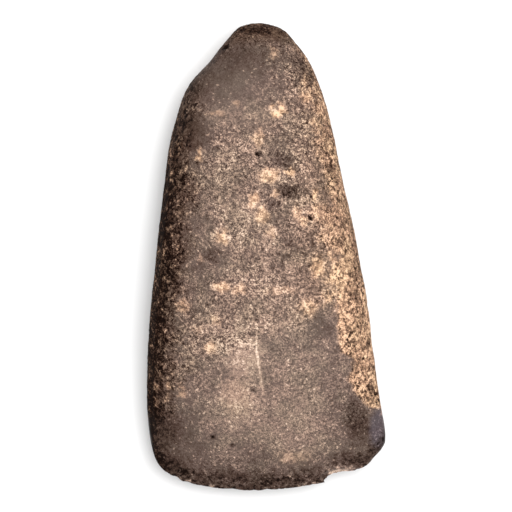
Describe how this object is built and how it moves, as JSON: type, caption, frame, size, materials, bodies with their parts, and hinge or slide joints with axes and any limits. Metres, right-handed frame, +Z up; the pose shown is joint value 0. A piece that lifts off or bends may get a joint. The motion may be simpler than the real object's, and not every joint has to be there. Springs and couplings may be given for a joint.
{
  "type": "stone adze blade",
  "caption": "Ground-stone adze blade with a rounded poll, a flared, chipped cutting edge and a flat seat on its back for lashing to a haft.",
  "frame": {"origin": "under the middle of the blade, in the plane of the flat seat on its back, which it lies on", "axes": "+Y from the cutting edge to the poll, +X to the right seen from the front face, +Z up out of the domed front face"},
  "size_m": [0.0716, 0.14, 0.033],
  "materials": {
    "stone": "pecked, ground and part polished, with a pale tan patina on the pecked areas"
  },
  "bodies": {
    "root": {"adze_blade": "stone"}
  },
  "joints": []
}
